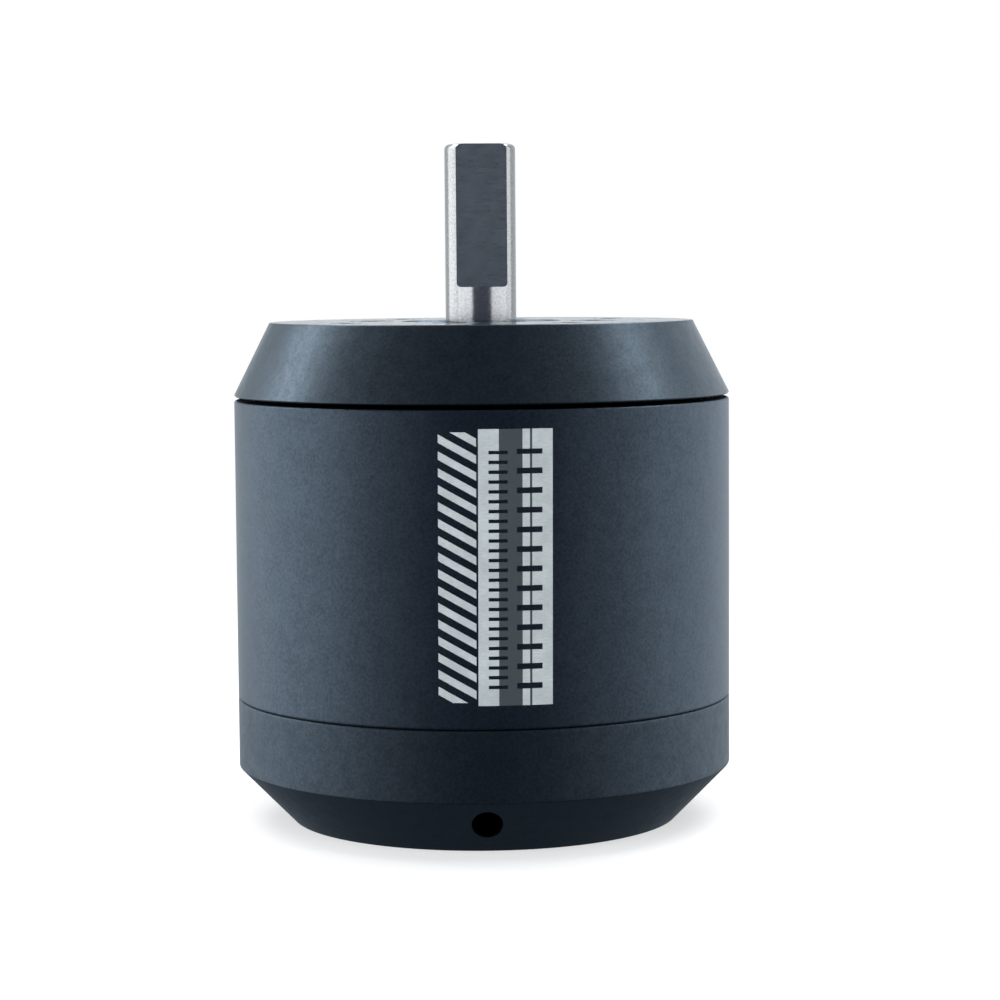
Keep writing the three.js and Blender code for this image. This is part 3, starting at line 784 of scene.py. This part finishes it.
def grub_hole(turn):
    """Cutter along the bell's radius: a threaded bore with a small chamfer where it breaks out."""
    thread = thread_outline(GRUB_HOLE_RADIUS, GRUB_HOLE_RADIUS + 0.28, 4, 26.4, 0.8)
    outline = [(0, 4), *thread, (GRUB_HOLE_RADIUS, 45), (0, 45)]
    cutter = lathe("grub_hole", outline, MIDDLE)
    return moved(cutter, z=GRUB_HOLE_HEIGHT, tilt=QUARTER, turn=turn)


def rear_bell():
    """Closed end with a deep chamfer, a register for the can and a hub clamped on the shaft."""
    bore = SHAFT_RADIUS + 0.05
    recess = SHAFT_BOTTOM
    register = BODY_RADIUS - 2.8
    outline = [
        (bore, recess, 0.2),
        (9, recess, 0.2),
        (9, 0, 0.2),
        (BELL_REAR_RADIUS, 0, 0.15),
        (BODY_RADIUS, BELL_CHAMFER, 0.25),
        (BODY_RADIUS, CAN_BOTTOM, 0.32),
        (register, CAN_BOTTOM),
        (register, BELL_TOP, 0.2),
        (30.4, BELL_TOP, 0.2),
        (30.4, BELL_FLOOR, 0.8),
        (12, BELL_FLOOR, 0.8),
        (12, 12.5, 0.3),
        (bore, 12.5, 0.2),
    ]
    bell = lathe("rear_bell_detail", outline)
    cut(bell, grub_hole(0), grub_hole(math.pi))
    place(shaded(bell), "rotor", "black_anodised", "rear_bell")
    bell.data.materials[0] = BELL_FINISH


def shaft():
    """Ground bar with a circlip groove, the milled output flat and two seats for the grub screws."""
    clip_low = low("shaft_circlip", Z)
    clip_high = high("shaft_circlip", Z)
    centre_drill = 1.2
    outline = [
        (0, SHAFT_BOTTOM + centre_drill),
        (centre_drill, SHAFT_BOTTOM),
        (SHAFT_RADIUS - 0.4, SHAFT_BOTTOM, 0.05),
        (SHAFT_RADIUS, SHAFT_BOTTOM + 0.4, 0.05),
        (SHAFT_RADIUS, clip_low - 0.05, 0.03),
        (4.7, clip_low - 0.05),
        (4.7, clip_high + 0.05),
        (SHAFT_RADIUS, clip_high + 0.05, 0.03),
        (SHAFT_RADIUS, SHAFT_TOP, 0.7),
        (centre_drill, SHAFT_TOP),
        (0, SHAFT_TOP - centre_drill),
    ]
    bar = lathe("shaft_detail", outline, MIDDLE)

    corner = 0.6
    half_width = math.sqrt(SHAFT_RADIUS**2 - (SHAFT_RADIUS - FLAT_DEPTH) ** 2)
    flat_low = SHAFT_TOP - FLAT_LENGTH
    over_the_end = FLAT_LENGTH + 2
    window = [(half_width, over_the_end), (-half_width, over_the_end)]
    window += arc((-half_width + corner, corner), corner, math.pi, 1.5 * math.pi, 8)
    window += arc((half_width - corner, corner), corner, -QUARTER, 0, 8)
    flat_cutter = prism("output_flat", window, 0, 8)
    moved(flat_cutter, y=FLAT_DEPTH - SHAFT_RADIUS, z=flat_low, tilt=QUARTER)
    moved(flat_cutter, turn=FLAT_CLOCKING)

    grub_flat_depth = 0.4
    grub_cutters = []
    for turn in (0, math.pi):
        seat = prism("grub_flat", obround(14, 5.6), 0, 4)
        moved(seat, y=grub_flat_depth - SHAFT_RADIUS, z=GRUB_HOLE_HEIGHT, tilt=QUARTER, turn=turn)
        grub_cutters.append(seat)
    cut(bar, flat_cutter, *grub_cutters)
    shaded(bar, 25)
    place(bar, "rotor", "polished_steel", "shaft")
    bar.data.materials.append(MILLED)
    outward = Vector((math.sin(FLAT_CLOCKING), -math.cos(FLAT_CLOCKING), 0))
    for polygon in bar.data.polygons:
        if polygon.normal.dot(outward) > 0.999 and polygon.center.z > flat_low * MM:
            polygon.material_index = 1
    return bar


def grub_screws():
    """Cup-point socket screws that lie along the bell's radius, against the shaft."""
    tip = low("bell_grub_screw_1", Y)
    end = high("bell_grub_screw_1", Y)
    outer = GRUB_HOLE_RADIUS - 0.03
    thread = thread_outline(outer - 0.25, outer, tip + 0.9, end - 0.4, 0.8)
    outline = [(0, tip + 0.7), (1.0, tip), (1.3, tip), *thread, (outer - 0.3, end), (0, end)]
    screw = lathe("grub_screw_detail", outline, SMALL)
    cut(screw, prism("socket", hexagon(2.5), end - 3, end + 1))
    moved(shaded(screw), z=GRUB_HOLE_HEIGHT, tilt=-QUARTER)
    for k in range(2):
        twin = copy_of(screw, f"bell_grub_screw_{k + 1}_detail", k * math.pi)
        place(twin, "rotor", "black_oxide_steel", f"bell_grub_screw_{k + 1}")
    bpy.data.objects.remove(screw)


# ---- Circlip, washers and bearings ----

def circlip():
    """Retaining ring with an eye at each end, pierced for the pliers."""
    bottom, top = low("shaft_circlip", Z), high("shaft_circlip", Z)
    inner, outer = 4.75, 6.3
    eye, pierced = 1.15, 0.5
    half_opening = math.radians(24)
    eye_place = inner + eye
    eye_angle = half_opening + 0.12
    outside = arc((0, 0), outer, half_opening, TAU - half_opening, 96)
    inside = arc((0, 0), inner, TAU - half_opening, half_opening, 96)
    band = prism("shaft_circlip_detail", outside + inside, bottom, top)
    for turn in (-eye_angle, eye_angle):
        lug = prism("lug", disc(eye, 32), bottom, top)
        combine(band, moved(lug, x=eye_place, turn=turn), "UNION")
        hole = prism("hole", disc(pierced, 24), bottom - 1, top + 1)
        cut(band, moved(hole, x=eye_place, turn=turn))
    bevelled(band, 0.08, 2)
    place(shaded(band), "rotor", "spring_steel", "shaft_circlip")


def ring_outline(inner, outer, bottom, top, edge):
    return [(inner, bottom, edge), (outer, bottom, edge), (outer, top, edge), (inner, top, edge)]


def plain_ring(node, outer, edge):
    """A washer or spacer on the shaft, turning with it."""
    outline = ring_outline(SHAFT_RADIUS + 0.1, outer, low(node, Z), high(node, Z), edge)
    place(shaded(lathe(node + "_detail", outline, MIDDLE)), "rotor", "bearing_steel", node)


BALLS = 9
BALL_CIRCLE = 8.0
BALL_RADIUS = 1.55
RACE_RADIUS = BALL_RADIUS + 0.08
INNER_RING_RADIUS = 6.75
OUTER_RING_BORE = 9.3


def race(centre, start, end):
    """The round groove that the balls run in, as outline points."""
    return arc((BALL_CIRCLE, centre), RACE_RADIUS, start, end, 12)


def bearing(prefix):
    """A sealed ball bearing: its two grooved rings, two seals, and the cage with the balls."""
    inner_node, outer_node = f"{prefix}_bearing_inner_ring", f"{prefix}_bearing_outer_ring"
    bottom, top = low(inner_node, Z), high(inner_node, Z)
    middle = (bottom + top) / 2
    bore = SHAFT_RADIUS + 0.04
    groove = math.acos((BALL_CIRCLE - INNER_RING_RADIUS) / RACE_RADIUS)
    outline = [
        (bore, bottom, 0.3),
        (INNER_RING_RADIUS, bottom, 0.15),
        *race(middle, math.pi + groove, math.pi - groove),
        (INNER_RING_RADIUS, top, 0.15),
        (bore, top, 0.3),
    ]
    inner_ring = shaded(lathe(inner_node + "_detail", outline, MIDDLE))
    place(inner_ring, "rotor", "bearing_steel", inner_node)

    groove = math.acos((OUTER_RING_BORE - BALL_CIRCLE) / RACE_RADIUS)
    outside = BEARING_SEAT_RADIUS - 0.04
    outline = [
        (OUTER_RING_BORE, bottom, 0.15),
        (outside, bottom, 0.3),
        (outside, top, 0.3),
        (OUTER_RING_BORE, top, 0.15),
        *race(middle, groove, -groove),
    ]
    outer_ring = shaded(lathe(outer_node + "_detail", outline, MIDDLE))
    place(outer_ring, "stator", "bearing_steel", outer_node)

    seal(f"{prefix}_bearing_upper_seal", upwards=True)
    seal(f"{prefix}_bearing_lower_seal", upwards=False)
    cage_and_balls(prefix, middle)


def seal(node, upwards):
    """Moulded ring whose outer face is dished between its rim and its lip."""
    bottom, top = low(node, Z), high(node, Z)
    inside, outside = INNER_RING_RADIUS + 0.12, OUTER_RING_BORE - 0.06
    thickness = top - bottom
    dished = thickness - 0.16
    outline = [
        (inside, 0, 0.08),
        (outside, 0, 0.08),
        (outside, thickness, 0.1),
        (outside - 0.4, thickness, 0.06),
        (outside - 0.6, dished, 0.05),
        (inside + 0.7, dished, 0.05),
        (inside + 0.5, thickness, 0.06),
        (inside, thickness, 0.1),
    ]
    ring = lathe(node + "_detail", outline, MIDDLE)
    if upwards:
        moved(ring, z=bottom)
    else:
        moved(ring, z=top, tilt=math.pi)
    place(shaded(ring), "stator", "black_rubber", node)


def cage_and_balls(prefix, middle):
    """A pressed cage with an open pocket round each ball."""
    node = f"{prefix}_bearing_cage_and_balls"
    half_width, half_height, edge = 0.35, 1.0, 0.1

    def ball(name, radius, turn):
        return moved(sphere(name, radius), x=BALL_CIRCLE, z=middle, turn=turn)

    outline = ring_outline(
        BALL_CIRCLE - half_width,
        BALL_CIRCLE + half_width,
        middle - half_height,
        middle + half_height,
        edge,
    )
    cage = lathe(node + "_detail", outline, 90)
    cut(cage, *around(BALLS, 0, lambda turn: ball("pocket", BALL_RADIUS + 0.1, turn)))
    balls = around(BALLS, 0, lambda turn: ball("ball", BALL_RADIUS, turn))
    merged = bmesh.new()
    for source in [cage, *balls]:
        merged.from_mesh(source.data)
    merged.to_mesh(cage.data)
    merged.free()
    for source in balls:
        bpy.data.objects.remove(source)
    place(shaded(cage), f"{prefix}_bearing_cage", "bearing_steel", node)


def sphere(name, radius):
    ball = bmesh.new()
    bmesh.ops.create_icosphere(ball, subdivisions=3, radius=radius * MM)
    mesh = bpy.data.meshes.new(name)
    ball.to_mesh(mesh)
    ball.free()
    made = bpy.data.objects.new(name, mesh)
    bpy.context.scene.collection.objects.link(made)
    return made


# ---- Stator tube, windings and magnets ----

def stator_tube():
    """Bearing tube with the flange that the screws pull up against the cap."""
    bottom = low("stator_tube", Z)
    top = high("stator_tube", Z)
    outline = [
        (11, bottom, 0.2),
        (13.45, bottom, 0.3),
        (13.45, top - 2.8, 0.3),
        (19.6, top - 2.8, 0.3),
        (19.6, top, 0.2),
        (9.5, top, 0.2),
        (9.5, bottom + 6.4),
        (11, bottom + 6.4),
    ]
    tube = lathe("stator_tube_detail", outline, MIDDLE)

    def screw_hole(turn):
        hole = lathe("hole", [(0, top - 6), (1.55, top - 6), (1.55, top + 1), (0, top + 1)], SMALL)
        return moved(hole, x=SCREW_CIRCLE_RADIUS, turn=turn)

    cut(tube, *around(SCREWS, SCREW_ANGLE, screw_hole))
    place(shaded(tube), "stator", "raw_aluminium", "stator_tube")


COILS = 12
WIRE = 0.9
TOOTH_HALF_WIDTH = 2.6

# Half the distance between the middles of two slots, at the winding's two ends.
INNER_REACH, INNER_REACH_RADIUS = 4.3, 18.2
OUTER_REACH, OUTER_REACH_RADIUS = 6.2, 26.4


def winding_loop(place_out, half_width, bottom, top, rounding=1.1, steps=4):
    """One turn of wire: a rounded rectangle across a tooth, at one distance from the axis."""
    corners = (
        (half_width, top, 0),
        (-half_width, top, QUARTER),
        (-half_width, bottom, 2 * QUARTER),
        (half_width, bottom, 3 * QUARTER),
    )
    points = []
    for across, height, start in corners:
        inwards = -rounding if height == top else rounding
        centre = (across - math.copysign(rounding, across), height + inwards)
        points += [(place_out, x, z) for x, z in arc(centre, rounding, start, start + QUARTER, steps)]
    return points


def windings():
    """Every coil is wound turn on turn in up to three layers, as the slot widens outwards."""
    core_low, core_high = low("stator_core", Z) - 1.2, high("stator_core", Z) + 1.2
    inner, outer = low("coil_01", X) + WIRE / 2, high("coil_01", X) - WIRE / 2
    curve = bpy.data.curves.new("winding", "CURVE")
    curve.dimensions = "3D"
    curve.bevel_depth = WIRE / 2 * MM
    curve.bevel_resolution = 2
    clearance = 0.05
    widening = (OUTER_REACH - INNER_REACH) / (OUTER_REACH_RADIUS - INNER_REACH_RADIUS)
    turns = int((outer - inner) / WIRE)
    for turn in range(turns + 1):
        place_out = inner + turn * (outer - inner) / turns
        reach = INNER_REACH + (place_out - INNER_REACH_RADIUS) * widening
        room = reach - TOOTH_HALF_WIDTH - clearance
        for layer in range(max(1, int(room / WIRE))):
            offset = WIRE * (layer + 0.5) + clearance
            half_width = TOOTH_HALF_WIDTH + offset
            loop = winding_loop(place_out, half_width, core_low - offset, core_high + offset)
            spline = curve.splines.new("POLY")
            spline.points.add(len(loop) - 1)
            for point, (x, y, z) in zip(spline.points, loop):
                point.co = (x * MM, y * MM, z * MM, 1)
            spline.use_cyclic_u = True
    source = bpy.data.objects.new("winding", curve)
    bpy.context.scene.collection.objects.link(source)
    depsgraph = bpy.context.evaluated_depsgraph_get()
    wound = bpy.data.meshes.new_from_object(source.evaluated_get(depsgraph))
    bpy.data.objects.remove(source)
    for k in range(COILS):
        twin = bpy.data.objects.new(f"coil_{k + 1:02d}_winding", wound.copy())
        bpy.context.scene.collection.objects.link(twin)
        moved(twin, turn=k * TAU / COILS)
        place(shaded(twin, 60), "stator", "copper_wire", f"coil_{k + 1:02d}")


MAGNETS = 14


def magnets():
    """Curved blocks side by side round the inside of the can, with a gap between neighbours."""
    inner, outer = 29.75, BODY_RADIUS - 2.85
    half_gap = math.radians(1.1)
    half = math.pi / MAGNETS - half_gap
    bottom, top = low("magnet_01", Z), high("magnet_01", Z)
    outline = arc((0, 0), outer, -half, half, 16) + arc((0, 0), inner, half, -half, 16)
    block = bevelled(prism("magnet", outline, bottom, top), 0.25, 3)
    shaded(block)
    for k in range(MAGNETS):
        twin = copy_of(block, f"magnet_{k + 1:02d}_detail", k * TAU / MAGNETS)
        place(twin, "rotor", "nickel_magnet", f"magnet_{k + 1:02d}")
    bpy.data.objects.remove(block)


# ---- Camera, floor and light ----

def camera():
    """Almost level with the cap's face, one degree above it, as in the product view."""
    focal_mm = 99.41
    distance, height = 392.13, 77.31
    pitch, roll = math.radians(4.727), math.radians(0.44)
    side, heading = -3.67, math.radians(-0.9)
    data = bpy.data.cameras.new("camera")
    data.lens = focal_mm
    data.sensor_width = 36
    data.clip_start = 0.01
    data.clip_end = 20
    made = bpy.data.objects.new("camera", data)
    bpy.context.scene.collection.objects.link(made)
    swing = Matrix.Rotation(heading, 4, "Z")
    nod = Matrix.Rotation(QUARTER - pitch, 4, "X")
    tip = Matrix.Rotation(-roll, 4, "Z")
    stand = Matrix.Translation(Vector((side, -distance, height)) * MM)
    made.matrix_world = stand @ (swing @ nod @ tip)
    bpy.context.scene.camera = made


BACKGROUND = (1.0, 1.0, 1.0)
FRONT_GLOW = (0.112, 0.125, 0.165)
BACK_GLOW = (0.71, 0.735, 0.75)


def floor():
    """A pale round floor, in metres, whose far part fades into the background."""
    radius = 4.0
    fade_start, fade_end = 0.04, 0.35
    clearance = 0.00002
    plate = bmesh.new()
    bmesh.ops.create_circle(plate, cap_ends=True, segments=96, radius=radius)
    mesh = bpy.data.meshes.new("floor")
    plate.to_mesh(mesh)
    plate.free()
    made = bpy.data.objects.new("floor", mesh)
    bpy.context.scene.collection.objects.link(made)
    made.location.z = -clearance
    material = bpy.data.materials.new("pale_floor")
    material.use_nodes = True
    tree = material.node_tree
    surface = tree.nodes["Principled BSDF"]
    surface.inputs["Base Color"].default_value = (0.86, 0.87, 0.88, 1)
    surface.inputs["Roughness"].default_value = 0.7
    surface.inputs["Specular IOR Level"].default_value = 0.2
    glow = tree.nodes.new("ShaderNodeEmission")
    glow.inputs["Color"].default_value = (*BACKGROUND, 1)
    place_node = tree.nodes.new("ShaderNodeTexCoord")
    length = tree.nodes.new("ShaderNodeVectorMath")
    length.operation = "LENGTH"
    blend = tree.nodes.new("ShaderNodeMixShader")
    tree.links.new(place_node.outputs["Object"], length.inputs[0])
    fade = map_range(tree, length.outputs["Value"], fade_start, fade_end, 0.55, smooth=True)
    tree.links.new(fade, blend.inputs["Fac"])
    tree.links.new(surface.outputs[0], blend.inputs[1])
    tree.links.new(glow.outputs[0], blend.inputs[2])
    tree.links.new(blend.outputs[0], tree.nodes["Material Output"].inputs["Surface"])
    made.data.materials.append(material)
    made.visible_glossy = False
    made.visible_shadow = False


def world():
    """Pale background. Its light is even from the sides and behind, and faint from the front."""
    made = bpy.data.worlds.new("studio")
    bpy.context.scene.world = made
    made.use_nodes = True
    tree = made.node_tree
    tree.nodes.clear()
    output = tree.nodes.new("ShaderNodeOutputWorld")
    direction = tree.nodes.new("ShaderNodeTexCoord")
    parts = tree.nodes.new("ShaderNodeSeparateXYZ")
    tree.links.new(direction.outputs["Generated"], parts.inputs[0])
    backwards = map_range(tree, parts.outputs["Y"], -0.8, 0.7, smooth=True)
    glow = tree.nodes.new("ShaderNodeMix")
    glow.data_type = "RGBA"
    glow.inputs[6].default_value = (*FRONT_GLOW, 1)
    glow.inputs[7].default_value = (*BACK_GLOW, 1)
    tree.links.new(backwards, glow.inputs["Factor"])
    strength = map_range(tree, parts.outputs["Z"], -0.65, -0.14, 0.29, 1.0)
    studio = tree.nodes.new("ShaderNodeBackground")
    tree.links.new(glow.outputs[2], studio.inputs["Color"])
    tree.links.new(strength, studio.inputs["Strength"])
    shown = tree.nodes.new("ShaderNodeBackground")
    shown.inputs["Color"].default_value = (*BACKGROUND, 1)
    rays = tree.nodes.new("ShaderNodeLightPath")
    choice = tree.nodes.new("ShaderNodeMixShader")
    tree.links.new(rays.outputs["Is Camera Ray"], choice.inputs["Fac"])
    tree.links.new(studio.outputs[0], choice.inputs[1])
    tree.links.new(shown.outputs[0], choice.inputs[2])
    tree.links.new(choice.outputs[0], output.inputs["Surface"])


BODY_MIDDLE = (CAP_FACE + low("rear_bell", Z)) / 2


def softbox(name, azimuth, elevation, half_angles, radiance, glossy=True, only=None, never=None):
    """A soft light facing the motor from one metre.

    Azimuth, from the front towards +X, elevation and half_angles, which are what it covers across and
    up, are in degrees. A light that isn't glossy gives no reflection. One with an only object lights
    nothing else, and one with a never object lights all but that.
    """
    distance = 1.0
    across, tall = [2 * distance * math.tan(math.radians(angle)) for angle in half_angles]
    light = bpy.data.lights.new(name, "AREA")
    light.shape = "RECTANGLE"
    light.size = across
    light.size_y = tall
    light.energy = radiance * math.pi * across * tall
    made = bpy.data.objects.new(name, light)
    bpy.context.scene.collection.objects.link(made)
    turn, rise = math.radians(azimuth), math.radians(elevation)
    direction = Vector((math.sin(turn) * math.cos(rise), -math.cos(turn) * math.cos(rise), math.sin(rise)))
    centre = Vector((0, 0, BODY_MIDDLE * MM))
    made.location = centre + direction * distance
    made.rotation_euler = (-direction).to_track_quat("-Z", "Y").to_euler()
    made.visible_camera = False
    made.visible_glossy = glossy
    if only or never:
        receivers = bpy.data.collections.new(name + "_receivers")
        receivers.objects.link(only or never)
        made.light_linking.receiver_collection = receivers
    if never:
        receivers.collection_objects[0].light_linking.link_state = "EXCLUDE"


def lights(bright_steel):
    """The shaft is ground bright, so its reflections are lit by cards of their own."""
    softbox("left_softbox", -99, 2, (36, 21), 1.6, never=bright_steel)
    softbox("left_front_card", -47, 0, (15, 22), 0.46, never=bright_steel)
    softbox("right_softbox", 106, 2, (34, 21), 1.1, never=bright_steel)
    softbox("right_front_card", 54, 0, (15, 22), 0.44, never=bright_steel)
    softbox("back_softbox", 180, -2, (42, 11), 0.62, never=bright_steel)
    softbox("right_back_card", 148, 8, (9, 9), 0.35, never=bright_steel)
    softbox("upper_left_spot", -111, 30, (9, 8), 6.3)
    softbox("upper_right_spot", 93, 35, (9, 8), 4.6)
    softbox("left_edge_card", -134, 53, (16, 11), 7.0)
    softbox("right_edge_card", 131, 54, (16, 12), 8.5)
    softbox("left_shaft_softbox", -105, 0, (21, 25), 1.5, only=bright_steel)
    softbox("left_shaft_card", -55, 0, (27, 25), 1.85, only=bright_steel)
    softbox("right_shaft_card", 62, 0, (28, 25), 1.55, only=bright_steel)
    softbox("right_shaft_softbox", 103, 0, (13, 25), 1.0, only=bright_steel)
    softbox("front_fill", -8, 30, (22, 22), 4.5, glossy=False)
    softbox("top_fill", 170, 75, (35, 35), 1.0, glossy=False)


# ---- Build ----

camera()
world()
floor()

lights(bright_steel=shaft())
front_cap()
cable_grommet()
tube_screws()
can()
rear_bell()
grub_screws()
circlip()
plain_ring("front_washer", outer=7.0, edge=0.08)
plain_ring("rear_spacer", outer=6.6, edge=0.12)
bearing("front")
bearing("rear")
stator_tube()
windings()
magnets()

bpy.context.scene.view_settings.view_transform = "Standard"
